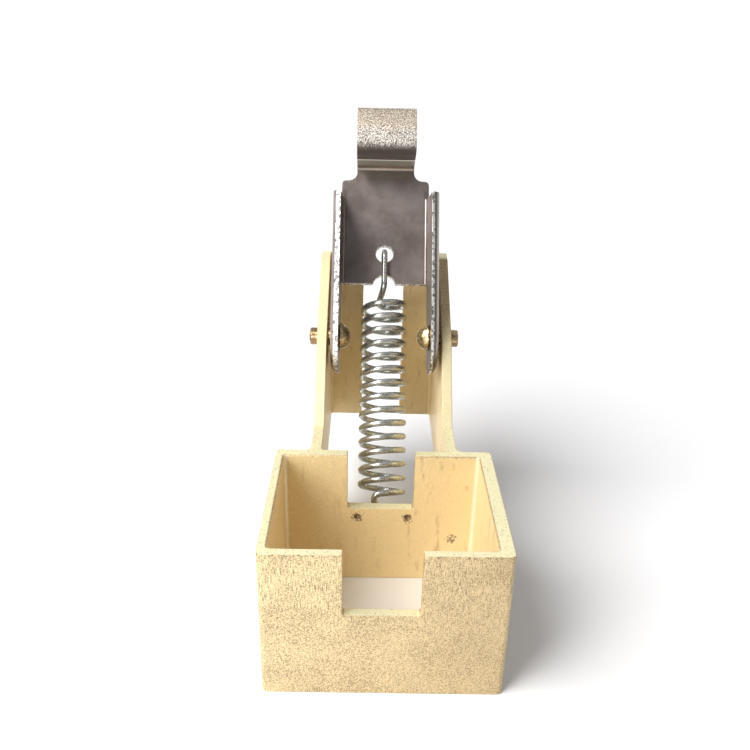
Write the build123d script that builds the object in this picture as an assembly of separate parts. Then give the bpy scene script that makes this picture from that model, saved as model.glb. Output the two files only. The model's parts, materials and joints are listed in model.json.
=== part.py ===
"""Carbon-brush holder: brass channel body, rocking pressure lever and tension spring.

Frame: millimetres, +Z up, X along the lever's pivot, and the arms reach back along +Y.
The origin is on the brush channel's middle line, at the face that the brush comes out of.
Each piece is drawn about the plane midway between the arms, and moved into the frame at the end.
"""
from build123d import *
import os
from math import asin, atan2, cos, degrees, hypot, radians, sin, tan

# ---------------------------------------------------------------- driving sizes (mm)
# the brush that the channel guides, and the running clearance round it
brush_width = 32.0
brush_thickness = 25.0
brush_clearance = 0.2

# box round the brush channel
box_height = 25.0
front_wall = 1.6
rear_wall = 1.8
left_wall = 1.4
right_wall = 2.2
box_corner_radius = 0.9
channel_corner_radius = 0.5
rim_bevel = 0.25
window_width = 11.2
window_depth = 10.4
window_corner_radius = 0.4
punch_spacing = 8.6
punch_drop = 1.7
punch_radius = 0.55

# arms that carry the lever, and the clamp flanges at their rear edge
arm_gap = 20.8
arm_thickness = 1.8
arm_fillet = 1.2
arm_edge_radius = 0.5
shelf_length = 8.3
knee_lead = 3.4
knee_lift = 0.6
top_slope = 33.0
top_corner_radius = 2.5
arm_foot = 15.5
underside_run = 8.0
underside_height = 12.4
flange_lead = 16.1
flange_thickness = 2.2
clamp_slot_width = 8.0

# lever pivot: two rivets on one axis
pivot_setback = 21.4
pivot_rise = 11.7
pivot_clearance = 0.06
rivet_radius = 1.55
rivet_stub = 1.4
edge_bevel = 0.2
rivet_head_radius = 2.5
rivet_head_height = 2.05
head_clearance = 0.12

# pressed-sheet lever, drawn upright with its length along +Z from the pivot
open_lean = 33.5
stop_gap = 0.15
sheet = 1.45
side_clearance = 0.7
lever_depth = 14.0
outer_bend_radius = 2.0
side_length = 25.7
side_top_rise = 3.6
web_start = 11.6
relief_width = 4.4
relief_height = 1.8
hook_hole_height = 17.6
hook_hole_radius = 1.7
neck_length = 2.7
shoulder_inset = 1.1
shoulder_radius = 0.8
neck_radius = 1.7
finger_width = 11.3
foot_lead = 0.6
finger_bend_radius = 0.9
foot_stand_off = 8.75
foot_bend_radius = 1.7
foot_curve_radius = 12.0
foot_curve_angle = 27.0

# tension spring, and the pin that holds its lower end
pin_radius = 1.2
pin_height = 6.0
pin_setback = 5.0
pin_proud = 0.4
wire_radius = 0.575
coil_radius = 3.88
coil_turns = 14.5
lower_hook_room = 5.9
upper_hook_room = 9.5
hook_clearance = 0.15
lower_hook_play = 0.675
lower_hook_angle = 250.0
hook_tail = 1.5

# drawing helpers: two points nearer than touch are one point, and cuts run past the faces they open
touch = 0.01
cut_margin = 1.0

# ---------------------------------------------------------------- worked-out places
channel_width = brush_width + brush_clearance
channel_depth = brush_thickness + brush_clearance
box_width = channel_width + left_wall + right_wall
arms_x = (right_wall - left_wall) / 2
channel_x = -arms_x
front_face = -channel_depth / 2 - front_wall
rear_face = channel_depth / 2 + rear_wall
arm_inner = arm_gap / 2
arm_outer = arm_inner + arm_thickness
window_floor = box_height - window_depth
pivot_y = rear_face + pivot_setback
pivot_height = box_height + pivot_rise
flange_front = pivot_y + flange_lead
flange_rear = flange_front + flange_thickness
pin_y = rear_face + pin_setback
lever_half = arm_inner - side_clearance
lever_inner = lever_half - sheet
web_back = lever_depth / 2
web_front = web_back - sheet
web_middle = web_back - sheet / 2
finger_height = pivot_y - foot_lead
shoulder_height = finger_height - neck_length
lever_frame = Location((0, pivot_y, pivot_height), (-open_lean, 0, 0))

# the open lever leans back on the top edge of the clamp flanges
lean_sine = sin(radians(open_lean))
lean_cosine = cos(radians(open_lean))
arm_top = pivot_height + (flange_lead * lean_cosine - lever_depth / 2 - stop_gap) / lean_sine

# the spring's axis runs from the pin to the middle of the hook hole
hole_y = pivot_y + hook_hole_height * lean_sine + web_middle * lean_cosine
hole_z = pivot_height + hook_hole_height * lean_cosine - web_middle * lean_sine
spring_length = hypot(hole_y - pin_y, hole_z - pin_height)
spring_lean = degrees(atan2(hole_y - pin_y, hole_z - pin_height))
spring_frame = Location((0, pin_y, pin_height), (-spring_lean, 0, 0))

# the upper hook stands off the web by a little more, because the web isn't parallel with the spring
hook_drop = hook_hole_radius - wire_radius + hook_tail
hook_tilt_room = hook_drop * abs(tan(radians(spring_lean - open_lean)))
upper_hook_radius = sheet / 2 + wire_radius + hook_clearance + hook_tilt_room


def across(shape, width):
    """Extrude a shape drawn in the Y-Z plane to both sides of X = 0."""
    return extrude(Plane.YZ * shape, amount=width / 2, both=True)


def crossbar(radius, start, end, y, z):
    """A round bar along X from start to end."""
    bar = Cylinder(radius, end - start, rotation=(0, 90, 0))
    return Pos((start + end) / 2, y, z) * bar


# ---------------------------------------------------------------- holder body
def body_plan():
    """The outline seen from above: box, two arms and two clamp flanges."""
    plan = Pos(0, (front_face + rear_face) / 2) * RectangleRounded(
        box_width, rear_face - front_face, box_corner_radius)
    for side in (-1, 1):
        arm_length = flange_rear - rear_face + rear_wall / 2
        arm = Rectangle(arm_thickness, arm_length)
        plan += Pos(side * (arm_inner + arm_outer) / 2, flange_rear - arm_length / 2) * arm
        flange_width = arm_outer - clamp_slot_width / 2
        flange = Rectangle(flange_width, flange_thickness)
        plan += Pos(side * (arm_outer - flange_width / 2), flange_rear - flange_thickness / 2) * flange

    def corners(x, y):
        return plan.vertices().filter_by(lambda v: abs(abs(v.X) - x) < touch and abs(v.Y - y) < touch)

    plan = fillet(corners(arm_outer, rear_face), arm_fillet)
    plan = fillet(corners(arm_inner, rear_face) + corners(arm_inner, flange_front), arm_edge_radius)
    return fillet(corners(arm_outer, flange_rear), arm_edge_radius)


def body_side():
    """The outline seen from the side, which is sawn and milled across the section."""
    knee = (pivot_y - knee_lead, pivot_height + knee_lift)
    top_start = knee[0] + (arm_top - knee[1]) / tan(radians(top_slope))
    foot_end = rear_face + arm_foot
    side = make_face(Polyline(
        (front_face, 0),
        (foot_end, 0),
        (foot_end + underside_run, underside_height),
        (flange_rear, underside_height),
        (flange_rear, arm_top),
        (top_start, arm_top),
        knee,
        (rear_face + shelf_length, box_height),
        (front_face, box_height),
        close=True))
    top_corners = side.vertices().filter_by(lambda v: abs(v.Y - arm_top) < touch)
    return fillet(top_corners, min(top_corner_radius, flange_thickness))


def brush_channel():
    section = Pos(channel_x, 0) * RectangleRounded(channel_width, channel_depth, channel_corner_radius)
    return extrude(section, amount=box_height)


def rim_cut():
    """A small bevel round the mouth of the channel."""
    mouth = Pos(channel_x, 0, box_height) * RectangleRounded(
        channel_width + 2 * rim_bevel, channel_depth + 2 * rim_bevel, channel_corner_radius + rim_bevel)
    return extrude(mouth, amount=-rim_bevel, taper=45)


def window_cut():
    """The slot in the front and rear walls, open at the rim."""
    opening = Pos(channel_x, box_height) * RectangleRounded(
        window_width, 2 * window_depth, window_corner_radius)
    start = Plane.XZ.offset(-rear_face - cut_margin)
    return extrude(start * opening, amount=rear_face - front_face + 2 * cut_margin)


def holder_body():
    body = extrude(body_plan(), amount=arm_top) & across(body_side(), box_width + cut_margin)
    body -= brush_channel() + rim_cut() + window_cut()
    punch = Sphere(punch_radius)
    for side in (-1, 1):
        body -= Pos(side * punch_spacing / 2, channel_depth / 2, window_floor - punch_drop) * punch
    body -= crossbar(rivet_radius, -box_width, box_width, pivot_y, pivot_height)
    body -= crossbar(pin_radius, -box_width, box_width, pin_y, pin_height)
    return body


# ---------------------------------------------------------------- lever
def lever_channel():
    """Two side plates and the web between them, folded from one sheet."""
    half_depth = lever_depth / 2
    side = Circle(half_depth) + make_face(Polyline(
        (-half_depth, 0),
        (half_depth, 0),
        (half_depth, side_length + side_top_rise),
        (-half_depth, side_length),
        close=True))
    channel = across(side, 2 * lever_half)
    bends = channel.edges().filter_by(Axis.Z).group_by(Axis.Y)[-1]
    channel = fillet(bends, outer_bend_radius)
    inside_depth = lever_depth
    inside = Box(2 * lever_inner, inside_depth, 4 * side_length)
    inside = fillet(inside.edges().filter_by(Axis.Z).group_by(Axis.Y)[-1], outer_bend_radius - sheet)
    channel -= Pos(0, web_front - inside_depth / 2, 0) * inside
    below = Box(2 * lever_inner, 2 * lever_depth, 2 * lever_depth)
    return channel - Pos(0, 0, web_start - lever_depth) * below


def shoulder_plate():
    """The web above the side plates, narrowing to the finger."""
    shoulder = lever_half - shoulder_inset
    half_finger = finger_width / 2
    low = side_length
    outline = make_face(Polyline(
        (-shoulder, low),
        (shoulder, low),
        (shoulder, shoulder_height),
        (half_finger, shoulder_height),
        (half_finger, finger_height - finger_bend_radius),
        (-half_finger, finger_height - finger_bend_radius),
        (-half_finger, shoulder_height),
        (-shoulder, shoulder_height),
        close=True))

    def corners(x):
        return outline.vertices().filter_by(
            lambda v: abs(abs(v.X) - x) < touch and abs(v.Y - shoulder_height) < touch)

    outline = fillet(corners(shoulder), shoulder_radius)
    outline = fillet(corners(half_finger), min(neck_radius, neck_length - finger_bend_radius - touch))
    return extrude(Plane.XZ.offset(-web_back) * outline, amount=sheet)


def finger():
    """The strip that steps forward from the web and ends in the curved pressing foot."""
    bend = finger_bend_radius + sheet / 2
    foot_bend = foot_bend_radius + sheet / 2
    foot_y = web_front - foot_stand_off + sheet / 2
    neck_start = finger_height - bend - 2 * sheet
    neck = Line((web_middle, neck_start), (web_middle, finger_height - finger_bend_radius))
    first = JernArc(neck @ 1, neck % 1, bend, 90)
    leg = Line(first @ 1, (foot_y + foot_bend, (first @ 1).Y))
    second = JernArc(leg @ 1, leg % 1, foot_bend, -90)
    foot = JernArc(second @ 1, second % 1, foot_curve_radius, -foot_curve_angle)
    strip = trace(neck + first + leg + second + foot, sheet)
    return across(strip, finger_width)


def lever():
    body = lever_channel() + shoulder_plate() + finger()
    relief_radius = ((relief_width / 2) ** 2 + relief_height ** 2) / (2 * relief_height)
    through_web = Cylinder(relief_radius, 3 * sheet, rotation=(90, 0, 0))
    body -= Pos(0, web_middle, web_start + relief_height - relief_radius) * through_web
    body -= Pos(0, web_middle, hook_hole_height) * Cylinder(hook_hole_radius, 3 * sheet, rotation=(90, 0, 0))
    body -= crossbar(rivet_radius + pivot_clearance, -arm_inner, arm_inner, 0, 0)
    return lever_frame * body


# ---------------------------------------------------------------- rivets and pin
def rivet(side):
    """A brass rivet: its shank fills the arm, and its domed head keeps the lever's side plate on."""
    head_base = lever_inner - head_clearance
    shank_end = arm_outer + rivet_stub
    head_tip = head_base - rivet_head_height
    dome_radius = (rivet_head_radius ** 2 + rivet_head_height ** 2) / (2 * rivet_head_height)
    half_angle = asin(rivet_head_radius / dome_radius) / 2
    dome_middle = (head_tip + dome_radius * (1 - cos(half_angle)), dome_radius * sin(half_angle))
    outline = make_face(
        ThreePointArc((head_tip, 0), dome_middle, (head_base, rivet_head_radius))
        + Polyline(
            (head_base, rivet_head_radius),
            (head_base, rivet_radius),
            (shank_end - edge_bevel, rivet_radius),
            (shank_end, rivet_radius - edge_bevel),
            (shank_end, 0),
            (head_tip, 0)))
    solid = Pos(0, pivot_y, pivot_height) * revolve(outline, Axis.X)
    return solid if side > 0 else mirror(solid, Plane.YZ)


def anchor_pin():
    """The steel pin across the arms that the spring's lower hook goes round."""
    end = arm_outer + pin_proud
    pin = crossbar(pin_radius, -end, end, pin_y, pin_height)
    return chamfer(pin.edges().filter_by(GeomType.CIRCLE), edge_bevel)


# ---------------------------------------------------------------- spring
def wire(path):
    section = Plane(origin=path @ 0, z_dir=path % 0) * Circle(wire_radius)
    return sweep(section, path=path)


def spring():
    """A right-handed coil with an open hook at each end, drawn along +Z from the pin."""
    coil_height = spring_length - lower_hook_room - upper_hook_room
    helix = Helix(coil_height / coil_turns, coil_height, coil_radius)
    coil = Pos(0, 0, lower_hook_room) * Rot(0, 0, -90) * helix
    lower_radius = pin_radius + wire_radius + lower_hook_play
    drop = Spline(coil @ 0, (0, -lower_radius, 0), tangents=[-(coil % 0), (0, 0, -1)])
    round_pin = CenterArc((0, 0), lower_radius, 180, lower_hook_angle)
    lower_hook = Plane.YZ * round_pin

    upper_radius = upper_hook_radius
    hook_centre = spring_length - hook_hole_radius + wire_radius
    web_edge = spring_length - hook_hole_height + web_start
    rise = Spline(coil @ 1, (0, -upper_radius, web_edge), tangents=[coil % 1, (0, 0, 1)])
    shank = Line((0, -upper_radius, web_edge), (0, -upper_radius, hook_centre))
    over = Plane.YZ * CenterArc((0, hook_centre), upper_radius, 180, -180)
    tail = Line((0, upper_radius, hook_centre), (0, upper_radius, hook_centre - hook_tail))
    pieces = [wire(run) for run in (coil, drop, lower_hook, rise, shank, over, tail)]
    return spring_frame * (pieces[0] + pieces[1:])


# ---------------------------------------------------------------- write the nodes
nodes = {
    "holder_body": holder_body(),
    "lever": lever(),
    "rivet_left": rivet(-1),
    "rivet_right": rivet(1),
    "anchor_pin": anchor_pin(),
    "spring": spring(),
}
os.makedirs("parts", exist_ok=True)
for name, shape in nodes.items():
    export_step(Pos(arms_x, 0, 0) * shape, f"parts/{name}.step")
    print(name, len(shape.solids()), "solid", round(shape.volume, 1), "mm3")
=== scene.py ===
# %% [markdown]
# # A carbon-brush holder, piece by piece
# A motor's carbon brush is a block that slides in a brass box and is pressed against the turning
# ring by a lever and a tension spring. This lesson dresses an exact engineering model of such a
# holder: it rounds and roughens the metal, winds the spring, and gives every metal its own finish.
#
# The engineering model is loaded first and is never moved. Every piece that follows takes its place
# from that model, so that the lever and the spring still turn about the right lines.

# %% Load the engineering model
import json
from math import degrees, radians

import bmesh
import bpy
from mathutils import Matrix, Vector, noise


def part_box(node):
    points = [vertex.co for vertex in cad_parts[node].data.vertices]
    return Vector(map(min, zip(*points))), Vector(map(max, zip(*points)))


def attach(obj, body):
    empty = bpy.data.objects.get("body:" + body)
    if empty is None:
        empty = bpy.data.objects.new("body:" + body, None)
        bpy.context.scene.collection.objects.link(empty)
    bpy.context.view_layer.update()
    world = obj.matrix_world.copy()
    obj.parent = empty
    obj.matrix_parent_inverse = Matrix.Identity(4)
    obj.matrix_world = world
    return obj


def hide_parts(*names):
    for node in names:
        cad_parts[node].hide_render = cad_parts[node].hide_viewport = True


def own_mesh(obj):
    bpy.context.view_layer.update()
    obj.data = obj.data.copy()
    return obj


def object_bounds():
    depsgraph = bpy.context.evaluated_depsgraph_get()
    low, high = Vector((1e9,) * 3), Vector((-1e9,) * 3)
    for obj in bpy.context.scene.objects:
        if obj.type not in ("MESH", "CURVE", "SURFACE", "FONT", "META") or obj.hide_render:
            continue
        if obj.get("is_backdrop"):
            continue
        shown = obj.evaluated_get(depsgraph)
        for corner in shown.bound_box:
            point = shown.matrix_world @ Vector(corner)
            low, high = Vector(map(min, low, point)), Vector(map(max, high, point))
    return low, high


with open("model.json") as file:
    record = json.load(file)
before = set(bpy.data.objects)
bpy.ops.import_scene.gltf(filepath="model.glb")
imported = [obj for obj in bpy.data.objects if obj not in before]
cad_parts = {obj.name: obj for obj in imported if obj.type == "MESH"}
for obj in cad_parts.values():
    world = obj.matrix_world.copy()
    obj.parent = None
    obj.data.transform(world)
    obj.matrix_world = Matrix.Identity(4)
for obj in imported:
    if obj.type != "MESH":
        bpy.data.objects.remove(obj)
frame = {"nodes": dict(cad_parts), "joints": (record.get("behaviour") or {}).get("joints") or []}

CAD_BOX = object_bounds()
MM = 0.001
print("pieces in the model:", ", ".join(sorted(frame["nodes"])))
print("size in mm:", [round((high - low) / MM, 1) for low, high in zip(*CAD_BOX)])

# %% [markdown]
# ## Where the moving parts turn
# The record that comes with the model says where each hinge is. The lever leans back when it is
# open, so its finish and its edges are easier to describe in the lever's own upright frame: up its
# length, and out of its back. One matrix takes a point of the model into that frame.

# %% Hinges and the lever's own frame
hinges = {joint["name"]: joint for joint in frame["joints"]}


def hinge_point(name):
    """The point that a hinge turns about, in metres."""
    return Vector(hinges[name]["pos_m"])


LEVER_LEAN = radians(33.5)
pivot = hinge_point("lever_pivot")
pin = hinge_point("spring_swing")
into_lever = Matrix.Rotation(LEVER_LEAN, 4, "X") @ Matrix.Translation(-pivot)
for name, point in (("lever pivot", pivot), ("spring pin", pin)):
    print(name, "in mm:", [round(v / MM, 1) for v in point])

# %% [markdown]
# ## Growing node trees from Python
# Both finishes and Geometry Nodes are trees of nodes. A small class adds one node at a time: its
# settings are made first, because they decide which sockets exist, and then its inputs are given
# values or links. The output comes back wrapped, so that `1 - mask * 0.5` can be written as it is
# on paper, and each operator adds the Math node that does it.

# %% A wrapped output, and a tree that grows


def choose(sockets, key):
    """The socket of that name or place, among those that the node's settings left in use."""
    live = [socket for socket in sockets if socket.enabled]
    return live[key] if isinstance(key, int) else next(s for s in live if s.name == key)


class Value:
    """An output that can stand in a Python expression."""

    def __init__(self, nodes, socket):
        self.nodes = nodes
        self.socket = socket

    def maths(self, operation, *terms):
        return self.nodes.add("ShaderNodeMath", {"operation": operation}, dict(enumerate(terms)))

    def __add__(self, other):
        return self.maths("ADD", self, other)

    def __radd__(self, other):
        return self.maths("ADD", other, self)

    def __sub__(self, other):
        return self.maths("SUBTRACT", self, other)

    def __rsub__(self, other):
        return self.maths("SUBTRACT", other, self)

    def __mul__(self, other):
        return self.maths("MULTIPLY", self, other)

    def __rmul__(self, other):
        return self.maths("MULTIPLY", other, self)

    def __truediv__(self, other):
        return self.maths("DIVIDE", self, other)

    def __neg__(self):
        return self.maths("MULTIPLY", self, -1.0)

    def size(self):
        """The value without its sign."""
        return self.maths("ABSOLUTE", self)

    def above(self, low, high):
        """0 below low, 1 above high, and smooth between."""
        return self.nodes.add("ShaderNodeMapRange", {"interpolation_type": "SMOOTHSTEP"},
                              {"Value": self, "From Min": low, "From Max": high})


class Nodes:
    """A node tree that grows one node at a time."""

    def __init__(self, tree):
        self.tree = tree

    def add(self, kind, settings=None, inputs=None, output=0):
        """Add one node and return the output asked for, or the node where it has no outputs."""
        node = self.tree.nodes.new(kind)
        for name, setting in (settings or {}).items():
            setattr(node, name, setting)
        for key, value in (inputs or {}).items():
            socket = choose(node.inputs, key)
            if isinstance(value, Value):
                self.tree.links.new(value.socket, socket)
            else:
                socket.default_value = value
        return Value(self, choose(node.outputs, output)) if node.outputs else node


print("node helpers ready")

# %% [markdown]
# ## A finish
# A finish is a material made of one Principled shader and whatever patterns feed it. Every pattern
# is read from the piece's own coordinates, in metres, so it stays on the metal when a joint turns.
# Metal this small needs patterns that are finer than a millimetre: `grain` takes the size of a
# grain in millimetres and does the conversion. `near` makes a ragged blot round one place, for a
# mark that a tool has left there.

# %% The finish class
BLOT_RAGGED = 3.6  # how far a blot's rim wanders, in millimetres


class Finish(Nodes):
    """A metal finish: patterns, colour mixes and one Principled shader."""

    def __init__(self, name):
        self.material = bpy.data.materials.new(name)
        self.material.use_nodes = True
        super().__init__(self.material.node_tree)
        self.tree.nodes.clear()
        self.place = self.add("ShaderNodeTexCoord", output="Object")
        self.facing = self.add("ShaderNodeTexCoord", output="Normal")

    def mapped(self, scale=(1, 1, 1), matrix=None):
        """The piece's coordinates stretched by scale, and first taken through a turn and a move."""
        where = self.place
        if matrix is not None:
            where = self.add("ShaderNodeMapping", {"vector_type": "POINT"}, {
                "Vector": where, "Location": matrix.to_translation(),
                "Rotation": matrix.to_euler()})
        if tuple(scale) == (1, 1, 1):
            return where
        return self.add("ShaderNodeMapping", {"vector_type": "POINT"},
                        {"Vector": where, "Scale": scale})

    def part(self, vector, axis):
        """One of a vector's three numbers."""
        return self.add("ShaderNodeSeparateXYZ", inputs={"Vector": vector}, output=axis)

    def grain(self, size, where=None, detail=2.0, roughness=0.5):
        """Random mottling from 0 to 1 whose spots are about `size` millimetres across."""
        return self.add("ShaderNodeTexNoise", {"noise_dimensions": "3D"}, {
            "Vector": where or self.place, "Scale": 1.0 / (size * MM), "Detail": detail,
            "Roughness": roughness})

    def mix(self, amount, first, second):
        """Colour mix: first where amount is 0, second where it is 1."""
        def colour(value):
            return value if isinstance(value, Value) else (*value, 1.0)
        return self.add("ShaderNodeMix", {"data_type": "RGBA"},
                        {"Factor": amount, "A": colour(first), "B": colour(second)})

    def near(self, place, radius):
        """1 in a ragged blot of about `radius` round a place, both in millimetres."""
        away = self.add("ShaderNodeVectorMath", {"operation": "DISTANCE"}, {
            0: self.place, 1: [v * MM for v in place]}, output="Value") / MM
        ragged = (self.grain(0.32, detail=3.0) - 0.5) * BLOT_RAGGED
        return 1 - (away + ragged).above(radius * 0.6, radius * 0.8)

    def attribute(self, name):
        """A number that the mesh carries, such as 1 on its rounded edges."""
        return self.add("ShaderNodeAttribute", {"attribute_name": name}, output="Fac")

    def bumped(self, height, depth, strength=1.0):
        """Normals for a surface that rises by `depth` millimetres where height is 1."""
        return self.add("ShaderNodeBump", inputs={
            "Height": height, "Distance": depth * MM, "Strength": strength})

    def done(self, **inputs):
        """Finish the material: underscores in the names stand for spaces."""
        named = {name.replace("_", " "): value for name, value in inputs.items()}
        shader = self.add("ShaderNodeBsdfPrincipled", inputs=named)
        self.add("ShaderNodeOutputMaterial", inputs={"Surface": shader})
        print("finish", self.material.name, "has", len(self.tree.nodes), "nodes")
        return self.material


# %% [markdown]
# ## Finish 1: blasted brass
# The body is cut from a drawn brass section, then blasted. The blasting leaves a fine sandy grain,
# and the drawing leaves short faint lines along the section's length, which show most near the top.
# Painted shade darkens its right side, away from the light, and tarnished spots gather there too. Inside the
# channel and between the arms the die has left the brass smoother, with brown smears; its colour there is
# painted paler and yellower for the light that bounces between the walls, and a painted highlight runs down
# each inner corner. Sawn faces are paler brass, with freckles, and with dark burrs along their edges; a
# painted highlight brightens them and the arms' rims further, but not the shaded top of the right-hand arm.
# Two punched marks and a stain inside the rear wall are dark as well.
#
# Each of those is a mask from 0 to 1, read from where a point lies on the body and which way the surface
# faces there. The worked copy of the body carries an `edge` attribute that is 1 on its rounded edges, so the
# burrs, the worn edges and their painted highlight need no guessing.

# %% Brass of the body
BRASS_DARK = (0.17, 0.12, 0.06)
BRASS_PALE = (0.86, 0.69, 0.41)
BRASS_TARNISH_AND_SHADE = (0.40, 0.28, 0.14)
BRASS_INSIDE_LIT = (0.97, 0.79, 0.45)
BRASS_SMEARED = (0.50, 0.32, 0.14)
CORNER_HIGHLIGHT = (1.0, 0.96, 0.80)
BRASS_SAWN_AND_LIT = (1.0, 0.93, 0.60)
BRASS_RUBBED_AND_LIT = (1.0, 0.95, 0.70)
FRECKLE_BROWN = (0.42, 0.30, 0.16)
BURR_BROWN = (0.16, 0.09, 0.06)

# places on the body, in millimetres
CHANNEL_HALF_WIDTH = 16.1
CHANNEL_HALF_DEPTH = 12.6
CORNER_FROM = 0.6
CORNER_FULL = 0.45
BOX_REAR = 14.4
BOX_TOP = 25.0
ARM_INNER = 10.4
ARMS_MIDDLE = 0.4
DARK_MARKS = ((-3.9, 12.6, 12.7), (4.7, 12.6, 12.7), (12.4, 12.6, 8.6))
DARK_MARK_RADIUS = 0.95


def body_regions(x, y, z):
    """Masks for the channel, its corners where a painted highlight goes, behind the box, and the faces
    between the arms.
    """
    across, deep = x.size(), y.size()
    channel = (1 - across.above(CHANNEL_HALF_WIDTH, CHANNEL_HALF_WIDTH + 0.1)) * (
        1 - deep.above(CHANNEL_HALF_DEPTH, CHANNEL_HALF_DEPTH + 0.1))
    corner = channel * across.above(CHANNEL_HALF_WIDTH - CORNER_FROM,
                                    CHANNEL_HALF_WIDTH - CORNER_FULL)
    corner = corner * deep.above(CHANNEL_HALF_DEPTH - CORNER_FROM,
                                 CHANNEL_HALF_DEPTH - CORNER_FULL)
    behind = y.above(BOX_REAR, BOX_REAR + 0.2)
    from_middle = (x - ARMS_MIDDLE).size()
    between_arms = (1 - from_middle.above(ARM_INNER + 0.05, ARM_INNER + 0.1)) * behind
    return channel, corner, behind, between_arms


def blasted_brass():
    finish = Finish("blasted_brass")
    x, y, z = (finish.part(finish.place, axis) / MM for axis in "XYZ")
    facing_x, facing_up = (finish.part(finish.facing, axis).size() for axis in "XZ")
    channel, corner, behind, between_arms = body_regions(x, y, z)
    inside = channel + between_arms
    edge = finish.attribute("edge")

    # blasted faces: sand, drawn lines, tarnished spots, and painted shade that deepens to the right, away
    # from the light
    sand = finish.grain(0.19, detail=3.0, roughness=0.8)
    cloud = finish.grain(6.0, detail=3.0)
    drawn = finish.grain(0.10, where=finish.mapped(scale=(1, 1, 0.07)), detail=1.0)
    lines = (drawn - 0.5) * (0.30 + z.above(8.0, 22.0) * cloud.above(0.3, 0.6))
    tone = sand * 1.9 + cloud * 0.3 + lines - 0.55
    colour = finish.mix(tone.above(0.16, 0.78), BRASS_DARK, BRASS_PALE)
    streaks = finish.mapped(scale=(1, 1, 0.3))
    spots = finish.grain(0.9, where=streaks, detail=2.0).above(0.68, 0.73)
    # painted shade: a smooth ramp that darkens towards the right, away from the light; the spots on the
    # right half are tarnished
    tarnish_and_shade = x.above(-14.0, 20.0) * 0.34 + spots * x.above(0.0, 8.0) * 0.35
    colour = finish.mix(tarnish_and_shade, colour, BRASS_TARNISH_AND_SHADE)

    # smooth faces inside, with smears, their colour painted paler and yellower for the light that bounces
    # between the walls, and a painted highlight down each corner of the channel
    smears = finish.grain(1.1, where=streaks, detail=3.0).above(0.56, 0.72)
    # inside colour painted paler and yellower for light bounced between the walls; the brown smears are real
    smooth = finish.mix(smears * (0.20 + x.above(0.0, 9.0) * 0.35), BRASS_INSIDE_LIT, BRASS_SMEARED)
    # painted highlight down each inner corner of the channel
    smooth = finish.mix(corner * 0.7, smooth, CORNER_HIGHLIGHT)
    colour = finish.mix(inside * 0.74, colour, smooth)

    # sawn faces are paler brass; a painted highlight brightens them and the arms' rims, but not the shaded
    # top of the right-hand arm
    sawn = facing_up.above(0.88, 0.96) * (1 - edge)
    # painted highlight on the arms' rims, left off the shaded top of the right-hand arm
    arm_rim_highlight = (1 - facing_x.above(0.3, 0.6)) * behind * (1 - between_arms)
    arm_rim_highlight = arm_rim_highlight * (1 - x.above(8.0, 9.0) * z.above(36.0, 41.0))
    # sawn faces are paler brass, and a painted highlight lifts them further
    pale = sawn * (0.70 + sand * 0.5) + arm_rim_highlight * 0.5 * (1 - sawn)
    colour = finish.mix(pale, colour, BRASS_SAWN_AND_LIT)
    # edges worn bright, with a painted highlight along them as well
    rubbed_and_highlight = edge * finish.grain(0.5, detail=3.0).above(0.32, 0.52)
    colour = finish.mix(rubbed_and_highlight * 0.70, colour, BRASS_RUBBED_AND_LIT)
    freckles = sawn * finish.grain(0.35, detail=3.0, roughness=0.7).above(0.59, 0.64)
    colour = finish.mix(freckles * 0.55, colour, FRECKLE_BROWN)

    # burrs on the edges and just under the box's rim, and the dark marks
    under_rim = z.above(BOX_TOP - 0.6, BOX_TOP - 0.2) * (1 - z.above(BOX_TOP, BOX_TOP + 0.1))
    under_rim = under_rim * (1 - facing_up) * (1 - behind)
    burrs = (edge + under_rim) * finish.grain(0.45, detail=3.0, roughness=0.7).above(0.55, 0.60)
    for mark in DARK_MARKS:
        burrs = burrs + finish.near(mark, DARK_MARK_RADIUS)
    colour = finish.mix(burrs.above(0.0, 1.0) * 0.75, colour, BURR_BROWN)

    return finish.done(
        Base_Color=colour,
        Metallic=0.60 - inside * 0.30,
        Roughness=0.38 + sand * 0.20 - inside * 0.06,
        Normal=finish.bumped(sand * (1.0 - inside * 0.8), 0.07, 0.9),
    )


brass_body = blasted_brass()

# %% [markdown]
# ## Finish 2: the lever's plated steel
# The lever is blanked from sheet steel, folded, and nickel plated. Its broad faces are smooth and dull from
# handling, and their colour is darkened further as a painted dark reflection; painted shade makes the side
# plates nearly black inside. Its cut faces show how a press shears sheet: a torn, glittering band where the
# metal broke, and a darker band that the punch burnished by rubbing past. The flat leg under the finger and
# the web just below it carry olive painted shade, with a thin painted highlight line and a darker painted
# shade at the bend behind it. The foot that presses on the brush is coarse, and painted highlight makes it
# bright, with sparkling spots.
#
# The bands are set by their places in the lever's upright frame, and the worked copy marks cut
# faces with a `cut` attribute.

# %% Plated steel of the lever
STEEL_DULL_DARK_REFLECTION = (0.42, 0.35, 0.325)
STEEL_HANDLED = (0.61, 0.53, 0.50)
STEEL_FLECK = (0.80, 0.73, 0.69)
STEEL_EDGE = (0.80, 0.76, 0.72)
PLATE_SHADE = (0.08, 0.065, 0.06)
UNDER_FINGER_SHADE = (0.30, 0.27, 0.22)
GLINT_CREAM = (0.95, 0.90, 0.78)
BEND_SHADE = (0.10, 0.08, 0.07)
BURNISHED = (0.15, 0.14, 0.11)
TORN_BRIGHT = (0.97, 0.95, 0.92)
TORN_PIT = (0.11, 0.09, 0.08)
SPECKLE_DARK = (0.26, 0.20, 0.15)
SPECKLE_HIGHLIGHT = (1.0, 0.90, 0.76)
GLITTER_DARK = (0.18, 0.14, 0.11)
GLITTER_HIGHLIGHT = (1.0, 0.97, 0.90)
ROLLED_BROWN = (0.22, 0.15, 0.10)

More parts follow.
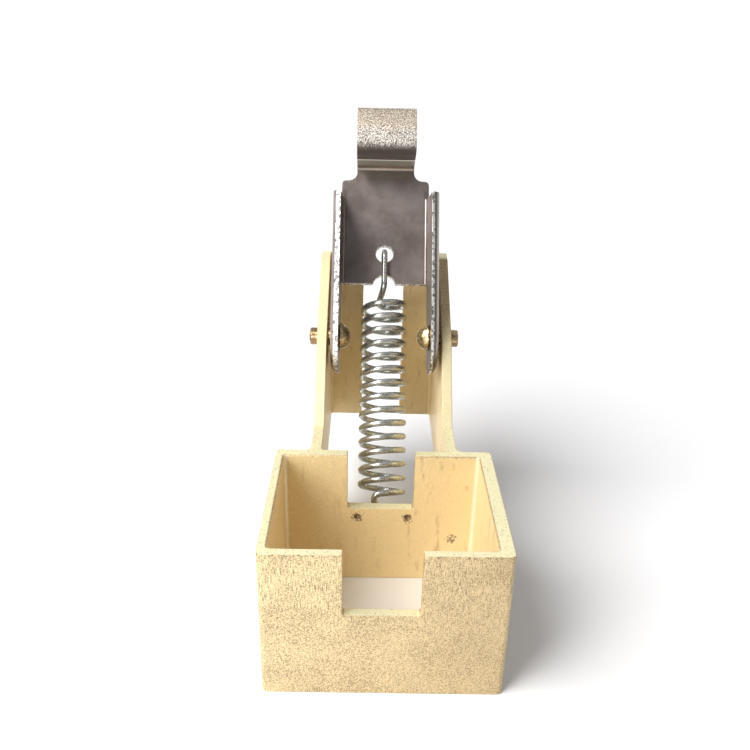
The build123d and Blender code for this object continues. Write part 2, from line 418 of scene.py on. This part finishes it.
# places in the lever's own frame, in millimetres
SHEET = 1.45
SIDE_INNER = 8.25
WEB_BACK = 7.0
WEB_FRONT = WEB_BACK - SHEET
PLATES_END = 30.0
LEG_UNDERSIDE = 35.2
FOOT_START = 37.0
SPECKLE_START = 38.6
ROLLED_START = 39.6
GLINT_OUT = 1.95


def inside_plates(side, out, up):
    """Where painted shade goes: the inner faces of the two side plates, and fainter on their outer faces."""
    plates = (WEB_FRONT + 0.2 - out).above(0.0, 0.5) * (1 - up.above(PLATES_END, PLATES_END + 1.0))
    plates = plates * side.size().above(SIDE_INNER - 0.9, SIDE_INNER - 0.5)
    return plates * (1 - side.size().above(SIDE_INNER + 0.2, SIDE_INNER + 0.4) * 0.6)


def plated_steel():
    finish = Finish("plated_steel")
    upright = finish.mapped(matrix=into_lever)
    side, out, up = (finish.part(upright, axis) / MM for axis in "XYZ")
    cut = finish.attribute("cut")
    edge = finish.attribute("edge")
    broad = 1 - cut

    # patterns
    smudges = finish.grain(6.0, detail=4.0, roughness=0.65)
    flecks = finish.grain(0.35, detail=2.0).above(0.64, 0.74)
    coarse = finish.grain(0.22, detail=4.0, roughness=0.75)
    pits = finish.grain(0.70, detail=3.0, roughness=0.7).above(0.51, 0.56)
    across = finish.mapped(scale=(0.05, 1, 1))
    rolled = finish.grain(0.20, where=across, detail=2.0).above(0.58, 0.70)

    # regions
    finger = up.above(LEG_UNDERSIDE - 0.3, LEG_UNDERSIDE) * (WEB_FRONT - 0.6 - out).above(0.0, 0.5)
    foot = finger * broad * (up + coarse * 2.4).above(FOOT_START, FOOT_START + 1.2)
    leg = finger * broad - foot
    # painted shade at the leg's bend, and a painted highlight line just beside it
    bend = leg * (GLINT_OUT - 0.2 - out).above(0.0, 0.2)
    glint = leg * (GLINT_OUT + 0.2 - out).above(0.0, 0.15) - bend
    # painted shade on the web just under the overhanging finger
    neck_shade = (1 - finger) * up.above(LEG_UNDERSIDE - 3.4, LEG_UNDERSIDE - 0.8) * broad
    plates = inside_plates(side, out, up) * broad
    burnish = cut * (side + coarse * 0.8).above(SIDE_INNER + 0.80, SIDE_INNER + 0.95)
    torn = cut - burnish

    # broad faces with a painted dark reflection and painted shade inside the side plates, then painted shade
    # and a painted highlight line under the finger, then cut faces, then the foot
    # dull plating whose colour is darkened further as a painted dark reflection
    colour = finish.mix(smudges.above(0.3, 0.7), STEEL_DULL_DARK_REFLECTION, STEEL_HANDLED)
    colour = finish.mix(flecks * 0.35, colour, STEEL_FLECK)
    # painted shade inside the side plates
    colour = finish.mix(plates * 0.90, colour, PLATE_SHADE)
    colour = finish.mix(neck_shade * 0.7, colour, UNDER_FINGER_SHADE)
    # painted shade on the underside of the finger's leg
    colour = finish.mix(leg, colour, UNDER_FINGER_SHADE)
    colour = finish.mix(glint, colour, GLINT_CREAM)
    colour = finish.mix(bend, colour, BEND_SHADE)
    colour = finish.mix(burnish, colour, BURNISHED)
    colour = finish.mix(torn, colour, finish.mix(pits * 0.90, TORN_BRIGHT, TORN_PIT))
    # the foot's coarse mottling is real; its brightness and its sparkling spots are painted highlight where
    # it faces the light above
    speckle = finish.mix(coarse.above(0.42, 0.60), SPECKLE_DARK, SPECKLE_HIGHLIGHT)
    glitter_and_highlight = finish.mix(coarse.above(0.44, 0.55), GLITTER_DARK, GLITTER_HIGHLIGHT)
    speckle = finish.mix(up.above(SPECKLE_START, SPECKLE_START + 1.8), glitter_and_highlight, speckle)
    lined = rolled * up.above(ROLLED_START, ROLLED_START + 1.4)
    speckle = finish.mix(lined * 0.7, speckle, ROLLED_BROWN)
    colour = finish.mix(foot, colour, speckle)
    colour = finish.mix(edge * broad * 0.35, colour, STEEL_EDGE)

    height = coarse * (torn * 0.6 + foot * 0.9) + smudges * 0.15
    return finish.done(
        Base_Color=colour,
        Metallic=1.0 - leg * 0.75,
        Roughness=0.30 + smudges * 0.08 + torn * 0.10 - foot * 0.04 - burnish * 0.08,
        Normal=finish.bumped(height, 0.16, 1.0),
    )


lever_steel = plated_steel()

# %% [markdown]
# ## Finishes 3 to 5: rivets, pin and spring wire
# The rivets are softer, redder brass that hammering has darkened, their ends outside the arms most of all,
# and painted shade darkens the left one more than the right. The pin is plain ground steel.
# The spring is zinc-plated wire: it is drawn, so its faint lines follow the wire. Geometry Nodes
# will leave an `along` attribute on the spring, the distance along the wire, for them to follow.

# %% Small metals
RIVET_RED = (0.60, 0.42, 0.18)
RIVET_PALE = (0.88, 0.74, 0.46)
RIVET_DIRT = (0.22, 0.15, 0.08)
RIVET_DARK_AND_SHADE = (0.20, 0.12, 0.07)
PIN_BRIGHT = (0.55, 0.54, 0.52)
PIN_STAINED = (0.36, 0.33, 0.30)
ZINC_DULL = (0.48, 0.50, 0.47)
ZINC_BRIGHT = (0.64, 0.65, 0.62)
ZINC_SPOT = (0.34, 0.35, 0.32)
STUB_START = 11.0  # millimetres from the middle, within the arm's hole


def hammered_brass():
    finish = Finish("hammered_brass")
    dents = finish.grain(0.7, detail=2.0)
    dirt = finish.grain(0.25, detail=3.0).above(0.46, 0.62)
    x = finish.part(finish.place, "X") / MM
    # mask for the painted shade that darkens the left rivet
    left = 1 - x.above(-1.0, 1.0)
    stub = x.size().above(STUB_START, STUB_START + 1.5)
    colour = finish.mix(dents.above(0.35, 0.65), RIVET_RED, RIVET_PALE)
    colour = finish.mix(dirt * 0.55, colour, RIVET_DIRT)
    colour = finish.mix(left * 0.35 + stub * 0.35, colour, RIVET_DARK_AND_SHADE)
    return finish.done(
        Base_Color=colour,
        Metallic=1.0,
        Roughness=0.26 + dirt * 0.25,
        Normal=finish.bumped(dents, 0.08, 0.7),
    )


def ground_steel():
    finish = Finish("ground_steel")
    rings = finish.grain(0.12, where=finish.mapped(scale=(1, 0.02, 0.02)), detail=2.0)
    stain = finish.grain(1.2, detail=3.0)
    colour = finish.mix(stain.above(0.4, 0.7), PIN_BRIGHT, PIN_STAINED)
    return finish.done(
        Base_Color=colour,
        Metallic=1.0,
        Roughness=0.28 + stain * 0.2,
        Normal=finish.bumped(rings, 0.01, 0.5),
    )


def zinc_wire():
    finish = Finish("zinc_wire")
    along = finish.attribute("along")
    length = finish.add("ShaderNodeCombineXYZ", inputs={"X": along})
    bands = finish.grain(3.0, where=length, detail=2.0)
    spots = finish.grain(0.25, detail=3.0).above(0.52, 0.72)
    colour = finish.mix(bands.above(0.35, 0.65), ZINC_DULL, ZINC_BRIGHT)
    colour = finish.mix(spots * 0.35, colour, ZINC_SPOT)
    return finish.done(
        Base_Color=colour,
        Metallic=0.85,
        Roughness=0.24 + spots * 0.14 + bands * 0.06,
        Normal=finish.bumped(finish.grain(0.3, detail=2.0), 0.012, 0.6),
    )


rivet_brass = hammered_brass()
pin_steel = ground_steel()
spring_zinc = zinc_wire()

# %% [markdown]
# ## Working a copy of the metal
# Nothing that was sawn, sheared or blasted has a perfectly sharp edge, and it is the edges that
# catch the light. The exact model has sharp ones. Its mesh must not change, so each piece is a
# copy: the copy is welded, its flat faces are joined up, and every sharp edge is bevelled. The
# bevel's middle line is then pushed in and out a little, which leaves the nicks and burrs of a saw
# cut, while the flat faces stay exactly where they were.

# %% Copy, bevel and roughen
WELD = 0.0005 * MM
FLAT = radians(0.6)
SHARP = radians(28)
BROAD_NICK = 0.9 * MM
FINE_NICK = 0.35 * MM


def divide(edge, step):
    """Divide an edge into lengths of about `step`, without cutting the faces beside it."""
    near, far = edge.verts
    cuts = int(edge.calc_length() / step)
    for left in range(cuts, 0, -1):
        near = bmesh.utils.edge_split(edge, near, 1.0 / (left + 1))[1]
        edge = next(e for e in near.link_edges if e.other_vert(near) is far)


def sharp_edges(work):
    """The edges where two faces meet at more than the angle SHARP."""
    return [e for e in work.edges if len(e.link_faces) == 2 and e.calc_face_angle(0.0) > SHARP]


def show_new(name, mesh):
    """Put a mesh in the scene as an object at the origin."""
    piece = bpy.data.objects.new(name, mesh)
    bpy.context.scene.collection.objects.link(piece)
    return piece


def worked_copy(node, name, bevel, ragged, step, seed, marks=None):
    """A copy of a CAD node with its sharp edges rounded and made a little ragged.

    Each of `marks` names an attribute and gives the test for the faces where it is 1.
    """
    work = bmesh.new()
    work.from_mesh(frame["nodes"][node].data)
    bmesh.ops.remove_doubles(work, verts=work.verts, dist=WELD)
    bmesh.ops.dissolve_limit(work, angle_limit=FLAT, verts=work.verts, edges=work.edges)
    for edge in sharp_edges(work):
        divide(edge, step)
    made = bmesh.ops.bevel(work, geom=sharp_edges(work), offset=bevel, offset_type="OFFSET",
                           segments=2, profile=0.5, affect="EDGES", clamp_overlap=False)
    strip = set(made["faces"])
    layers = {"edge": work.faces.layers.float.new("edge")}
    for mark in marks or {}:
        layers[mark] = work.faces.layers.float.new(mark)
    for face in work.faces:
        face.smooth = True
        face[layers["edge"]] = float(face in strip)
        for mark, test in (marks or {}).items():
            face[layers[mark]] = float(test(face))
    shift = Vector((3.1, 5.3, 7.7)) * seed
    for vert in work.verts:
        if vert.link_faces and strip.issuperset(vert.link_faces):
            broad = noise.noise(vert.co / BROAD_NICK + shift)
            fine = noise.noise(vert.co / FINE_NICK + shift)
            vert.co += vert.normal * (broad + 0.5 * fine) * ragged
    mesh = bpy.data.meshes.new(name)
    work.to_mesh(mesh)
    work.free()
    print(name, "has", len(mesh.polygons), "faces,", len(strip), "of them on rounded edges")
    return show_new(name, mesh)


def baked(piece):
    """Turn a piece and its modifiers into one plain mesh."""
    graph = bpy.context.evaluated_depsgraph_get()
    mesh = bpy.data.meshes.new_from_object(piece.evaluated_get(graph), depsgraph=graph)
    piece.modifiers.clear()
    piece.data = mesh
    return piece


def flat_faces_lead(piece):
    """Let the large flat faces decide the normals, so that only the bevels look round."""
    weigh = piece.modifiers.new("weigh", "WEIGHTED_NORMAL")
    weigh.weight = 90
    return baked(piece)


def dress(piece, material, body, node):
    """Give a finished piece its metal, its body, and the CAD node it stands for."""
    piece.data.materials.clear()
    piece.data.materials.append(material)
    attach(piece, body)
    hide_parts(node)


# %% [markdown]
# ## Piece 1: the brass body
# Box, two arms and two clamp flanges are one length of drawn section, milled and sawn to shape. A
# bevel of 0.15 mm is about what blasting leaves on brass. The saw has left nicks and burrs that are
# deeper here and there than the bevel itself, so the raggedness is 0.28 mm.

# %% Brass body
body_piece = worked_copy("holder_body", "brass_body", bevel=0.15 * MM, ragged=0.28 * MM,
                         step=0.4 * MM, seed=1)
flat_faces_lead(body_piece)
dress(body_piece, brass_body, "holder", "holder_body")

# %% [markdown]
# ## Piece 2: the pressure lever
# The lever is folded from one sheet, so a face is a cut face when it looks along the sheet and not
# out of it. On the two side plates the sheet's thickness runs across the lever. On the web it runs
# front to back, and on the finger it follows the curl, so there the cut faces are the ones that
# look sideways. The two shoulders, where the web narrows to the finger, look up.

# %% Lever
PLATE_TOP = 29.3
HALF_FINGER = 5.65


def is_cut(face):
    """True for a face that the press sheared."""
    place = into_lever @ face.calc_center_median() / MM
    facing = into_lever.to_3x3() @ face.normal
    on_side_plate = abs(place.x) > SIDE_INNER - 0.1 and place.y < WEB_FRONT - 0.3
    if on_side_plate:
        return abs(facing.x) < 0.75
    if place.z > PLATE_TOP:
        shoulder = abs(place.x) > HALF_FINGER and facing.z > 0.5
        return abs(facing.x) > 0.75 or shoulder
    return abs(facing.y) < 0.5 and (abs(place.x) < SIDE_INNER or facing.z > 0.7)


lever_piece = worked_copy("lever", "plated_lever", bevel=0.10 * MM, ragged=0.09 * MM,
                          step=0.45 * MM, seed=2, marks={"cut": is_cut})
flat_faces_lead(lever_piece)
dress(lever_piece, lever_steel, "lever", "lever")

# %% [markdown]
# ## Pieces 3 and 4: the rivets
# Each rivet was closed with a hammer, so its head is not a perfect dome. The copy's own points are
# moved in and out by a slow noise, which leaves broad dents, and the rest of the rivet is the same
# worked copy as before.

# %% Rivets


def dent(piece, size, depth, seed):
    """Push every point along its normal by a slow noise, as hammering does."""
    shift = Vector((seed, 0, -seed))
    for vertex in piece.data.vertices:
        vertex.co += vertex.normal * noise.noise(vertex.co / size + shift) * depth


for seed, side in enumerate(("left", "right"), start=3):
    rivet = worked_copy(f"rivet_{side}", f"hammered_rivet_{side}", bevel=0.08 * MM,
                        ragged=0.04 * MM, step=0.5 * MM, seed=seed)
    dent(rivet, size=1.1 * MM, depth=0.07 * MM, seed=seed)
    dress(rivet, rivet_brass, "holder", f"rivet_{side}")

# %% [markdown]
# ## Piece 5: the anchor pin
# Only the pin's two ends and a short length between the arms can be seen, and the exact model's
# shape is right, so it stays and is given its metal.

# %% Pin
pin_node = frame["nodes"]["anchor_pin"]
pin_node.data.materials.clear()
pin_node.data.materials.append(pin_steel)
print("anchor_pin has", len(pin_node.data.polygons), "faces and", pin_steel.name)

# %% [markdown]
# ## Piece 6: the spring
# A spring is one wire that follows a path, which is what Geometry Nodes do best. The tree draws the
# path in parts, upright from the pin: a hook round the pin, a sweep out to the coil, the coil, a
# sweep back in, a straight shank, and a hook over the lever's web. Each part ends where the next
# begins and points the same way. As bare edges the parts are welded into one line, and a circle
# swept along that line makes the wire. The sizes are inputs of the tree, so the spring can be wound
# again with other numbers. Heights are measured from the pin, along the spring.

# %% Spring sizes
spring_sizes = {
    "Wire Radius": 0.575 * MM,
    "Coil Radius": 3.88 * MM,
    "Turns": 14.5,
    "Coil Start": 5.9 * MM,
    "Coil End": 42.84 * MM,
    "Lower Hook Radius": 2.45 * MM,
    "Lower Hook Angle": radians(250),
    "Upper Hook Radius": 1.601 * MM,
    "Web Edge": 46.34 * MM,
    "Hook Centre": 51.21 * MM,
    "Tail": 1.5 * MM,
    "Lean": radians(-36.793),
}
print("the spring has", spring_sizes["Turns"], "turns of",
      round(2 * spring_sizes["Wire Radius"] / MM, 2), "mm wire")

# %% The spring's node tree


def spring_tree():
    """Build the tree: named inputs, a path in parts, one wire, and its material."""
    tree = bpy.data.node_groups.new("wound_spring", "GeometryNodeTree")
    tree.interface.new_socket("Geometry", in_out="INPUT", socket_type="NodeSocketGeometry")
    for name in spring_sizes:
        tree.interface.new_socket(name, in_out="INPUT", socket_type="NodeSocketFloat")
    tree.interface.new_socket("Pin", in_out="INPUT", socket_type="NodeSocketVector")
    tree.interface.new_socket("Material", in_out="INPUT", socket_type="NodeSocketMaterial")
    tree.interface.new_socket("Geometry", in_out="OUTPUT", socket_type="NodeSocketGeometry")
    nodes = Nodes(tree)
    entry = nodes.add("NodeGroupInput")
    given = {out.name: Value(nodes, out) for out in entry.socket.node.outputs if out.name}

    def point(x=0.0, y=0.0, z=0.0):
        return nodes.add("ShaderNodeCombineXYZ", inputs={"X": x, "Y": y, "Z": z})

    def moved(shape, place=None, turn=None):
        inputs = {"Geometry": shape}
        if place is not None:
            inputs["Translation"] = place
        if turn is not None:
            inputs["Rotation"] = turn
        return nodes.add("GeometryNodeTransform", inputs=inputs)

    def sweep_between(start, leave, arrive, end):
        """A smooth curve that leaves and arrives in the direction of its two handles."""
        return nodes.add("GeometryNodeCurvePrimitiveBezierSegment", {"mode": "POSITION"}, {
            "Resolution": 24, "Start": start, "Start Handle": leave,
            "End Handle": arrive, "End": end})

    def straight(start, end):
        return nodes.add("GeometryNodeCurvePrimitiveLine", inputs={"Start": start, "End": end})

    def arc(radius, start, sweep, steps):
        """Part of a circle that stands upright, front to back."""
        flat = nodes.add("GeometryNodeCurveArc", {"mode": "RADIUS"}, {
            "Resolution": steps, "Radius": radius, "Start Angle": start, "Sweep Angle": sweep})
        return moved(flat, turn=(radians(90), 0, radians(90)))

    coil_radius, start, end = (given[f"Coil {name}"] for name in ("Radius", "Start", "End"))
    lower, upper = given["Lower Hook Radius"], given["Upper Hook Radius"]
    spiral = nodes.add("GeometryNodeCurveSpiral", inputs={
        "Resolution": 40, "Rotations": given["Turns"], "Start Radius": coil_radius,
        "End Radius": coil_radius, "Height": end - start, "Reverse": True})
    coil = moved(spiral, place=point(z=start), turn=(0, 0, radians(-90)))

    reach = coil_radius * 0.8
    drop = sweep_between(point(y=-coil_radius, z=start),
                         point(x=-reach, y=-coil_radius, z=start - 0.3 * MM),
                         point(y=-lower, z=reach * 0.9), point(y=-lower))
    lower_hook = arc(lower, radians(180), given["Lower Hook Angle"], 40)
    edge = given["Web Edge"]
    rise = sweep_between(point(y=coil_radius, z=end),
                         point(x=reach * -0.6, y=coil_radius, z=end + 0.3 * MM),
                         point(y=-upper, z=edge - 2.6 * MM), point(y=-upper, z=edge))
    centre = given["Hook Centre"]
    shank = straight(point(y=-upper, z=edge), point(y=-upper, z=centre))
    over = moved(arc(upper, radians(180), radians(-180), 24), place=point(z=centre))
    tail = straight(point(y=upper, z=centre), point(y=upper, z=centre - given["Tail"]))

    join = tree.nodes.new("GeometryNodeJoinGeometry")
    for part in (coil, drop, lower_hook, rise, shank, over, tail):
        tree.links.new(part.socket, join.inputs[0])
    joined = Value(nodes, join.outputs[0])
    bare = nodes.add("GeometryNodeCurveToMesh", inputs={"Curve": joined})
    welded = nodes.add("GeometryNodeMergeByDistance", inputs={
        "Geometry": bare, "Distance": 0.02 * MM})
    line = nodes.add("GeometryNodeMeshToCurve", inputs={"Mesh": welded})
    distance = nodes.add("GeometryNodeSplineParameter", output="Length")
    marked = nodes.add(
        "GeometryNodeStoreNamedAttribute", {"data_type": "FLOAT", "domain": "POINT"},
        {"Geometry": line, "Name": "along", "Value": distance})
    circle = nodes.add("GeometryNodeCurvePrimitiveCircle", {"mode": "RADIUS"}, {
        "Resolution": 14, "Radius": given["Wire Radius"]})
    wire = nodes.add("GeometryNodeCurveToMesh", inputs={
        "Curve": marked, "Profile Curve": circle, "Fill Caps": True})
    smooth = nodes.add("GeometryNodeSetShadeSmooth", inputs={"Geometry": wire})
    placed = moved(smooth, place=given["Pin"], turn=point(x=given["Lean"]))
    real = nodes.add("GeometryNodeRealizeInstances", inputs={"Geometry": placed})
    coated = nodes.add("GeometryNodeSetMaterial", inputs={
        "Geometry": real, "Material": given["Material"]})
    nodes.add("NodeGroupOutput", inputs={"Geometry": coated})
    print("the spring's tree has", len(tree.nodes), "nodes")
    return tree


# %% Wind the spring
spring_piece = show_new("zinc_spring", bpy.data.meshes.new("zinc_spring"))
winding = spring_piece.modifiers.new("winding", "NODES")
winding.node_group = spring_tree()
settings = dict(spring_sizes, Pin=pin, Material=spring_zinc)
for item in winding.node_group.interface.items_tree:
    if item.in_out == "INPUT" and item.name in settings:
        winding[item.identifier] = settings[item.name]
baked(spring_piece)
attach(spring_piece, "spring")
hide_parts("spring")
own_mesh(spring_piece)
wound = [v.co for v in spring_piece.data.vertices]
wound_box = [[pick(v[axis] for v in wound) for axis in range(3)] for pick in (min, max)]
print("the wound spring has", len(spring_piece.data.polygons), "faces")
for name, (low, high) in (("model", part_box("spring")), ("wound", wound_box)):
    print(name, "spring box in mm:", [round(v / MM, 2) for v in (*low, *high)])

# %% [markdown]
# ## Floor, light and camera
# The holder stands on a plain white floor. One broad light high on the left gives a soft shadow on
# the right, and a pale sky fills it, brighter behind the holder than in front and above. A small
# lamp near the box's left front corner lights its front and the floor beside it. A dark card in
# front and above, which only reflections can see, keeps smooth metal from looking white.

# %% Floor
FLOOR_HALF = 40.0


def plain(name, colour, roughness):
    """A material of one colour and one roughness."""
    material = bpy.data.materials.new(name)
    material.use_nodes = True
    shader = material.node_tree.nodes["Principled BSDF"]
    shader.inputs["Base Color"].default_value = (*colour, 1)
    shader.inputs["Roughness"].default_value = roughness
    return material


def square(name, half, material):
    """A flat square at the origin, `half` metres from its middle to each side."""
    mesh = bpy.data.meshes.new(name)
    corners = [(-half, -half, 0), (half, -half, 0), (half, half, 0), (-half, half, 0)]
    mesh.from_pydata(corners, [], [(0, 1, 2, 3)])
    mesh.materials.append(material)
    return show_new(name, mesh)


floor = square("studio_floor", FLOOR_HALF, plain("white_paper", (0.80, 0.80, 0.81), 0.9))
floor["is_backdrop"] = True
print("the floor is", 2 * FLOOR_HALF, "metres across")

# %% Light
scene = bpy.context.scene
sky = bpy.data.worlds.new("pale_sky")
sky.use_nodes = True
sky.node_tree.nodes.clear()
dome = Nodes(sky.node_tree)
direction = dome.add("ShaderNodeTexCoord", output="Generated")
upward, backward = (
    dome.add("ShaderNodeSeparateXYZ", inputs={"Vector": direction}, output=axis) for axis in "ZY")
low_sky = 1 - upward.above(0.25, 0.70)
glow = dome.add("ShaderNodeBackground", inputs={
    "Color": (0.98, 0.985, 1.0, 1),
    "Strength": 0.40 + low_sky * (backward.above(-0.3, 0.5) * 0.80 - 0.04)})
dome.add("ShaderNodeOutputWorld", inputs={"Surface": glow})
scene.world = sky


def aimed(direction):
    """The turn that points a lamp or a card along a direction."""
    return Vector(direction).to_track_quat("-Z", "Y").to_euler()


def add_light(name, kind, energy, colour, direction):
    """A light at the origin that shines along a direction."""
    data = bpy.data.lights.new(name, kind)
    data.energy = energy
    data.color = colour
    light = bpy.data.objects.new(name, data)
    scene.collection.objects.link(light)
    light.rotation_euler = aimed(direction)
    print(name, "shines with", energy)
    return light


key = add_light("key", "SUN", 3.6, (1.0, 0.99, 0.97), (0.66, 0.26, -0.80))
key.data.angle = radians(45)

near_lamp = add_light("near_lamp", "AREA", 0.070, (1.0, 0.98, 0.95), (0.050, 0.070, -0.048))
near_lamp.data.shape = "DISK"
near_lamp.data.size = 0.06
near_lamp.location = (-0.060, -0.078, 0.060)

card = square("dark_card", 0.5, plain("dark_felt", (0.05, 0.045, 0.045), 1.0))
card.scale = (0.42, 0.30, 1)
card.location = (0.02, -0.28, 0.36)
card.rotation_euler = aimed((0, 0.72, -0.69))
card.visible_camera = card.visible_shadow = card.visible_diffuse = False
card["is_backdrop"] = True

# %% [markdown]
# ## Camera
# The camera looks down at the open end of the box from in front, turned a hair to the side and
# tilted a little, as a hand-held one is.

# %% Camera
CAMERA_PLACE = (-0.002743, -0.106483, 0.094775)
CAMERA_FORWARD = Vector((0.01045, 0.90759, -0.41973))
CAMERA_UP = Vector((-0.01704, 0.41985, 0.90743))

camera_data = bpy.data.cameras.new("camera")
camera_data.sensor_width = 36.0
camera_data.lens = 39.92
camera_data.clip_start = 0.002
camera_data.clip_end = 20.0
camera = bpy.data.objects.new("camera", camera_data)
scene.collection.objects.link(camera)
scene.camera = camera
camera_turn = Matrix((CAMERA_FORWARD.cross(CAMERA_UP), CAMERA_UP, -CAMERA_FORWARD)).transposed()
camera.matrix_world = Matrix.Translation(CAMERA_PLACE) @ camera_turn.to_4x4()
scene.view_settings.view_transform = "Standard"
from_straight_down = degrees(CAMERA_FORWARD.angle(Vector((0, 0, -1))))
print("the camera looks down by", round(90 - from_straight_down, 1), "degrees")

# %% [markdown]
# ## The size of the dressed pieces
# The dressed pieces have to fill the same box as the exact model, so both boxes are printed.

# %% Sizes of the exact model and the dressed pieces
boxes = {"cad": [list(corner) for corner in CAD_BOX], "visual": [list(corner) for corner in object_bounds()]}
for name, (low, high) in boxes.items():
    print(name, "box in mm:", [round(v / MM, 2) for v in low], [round(v / MM, 2) for v in high])
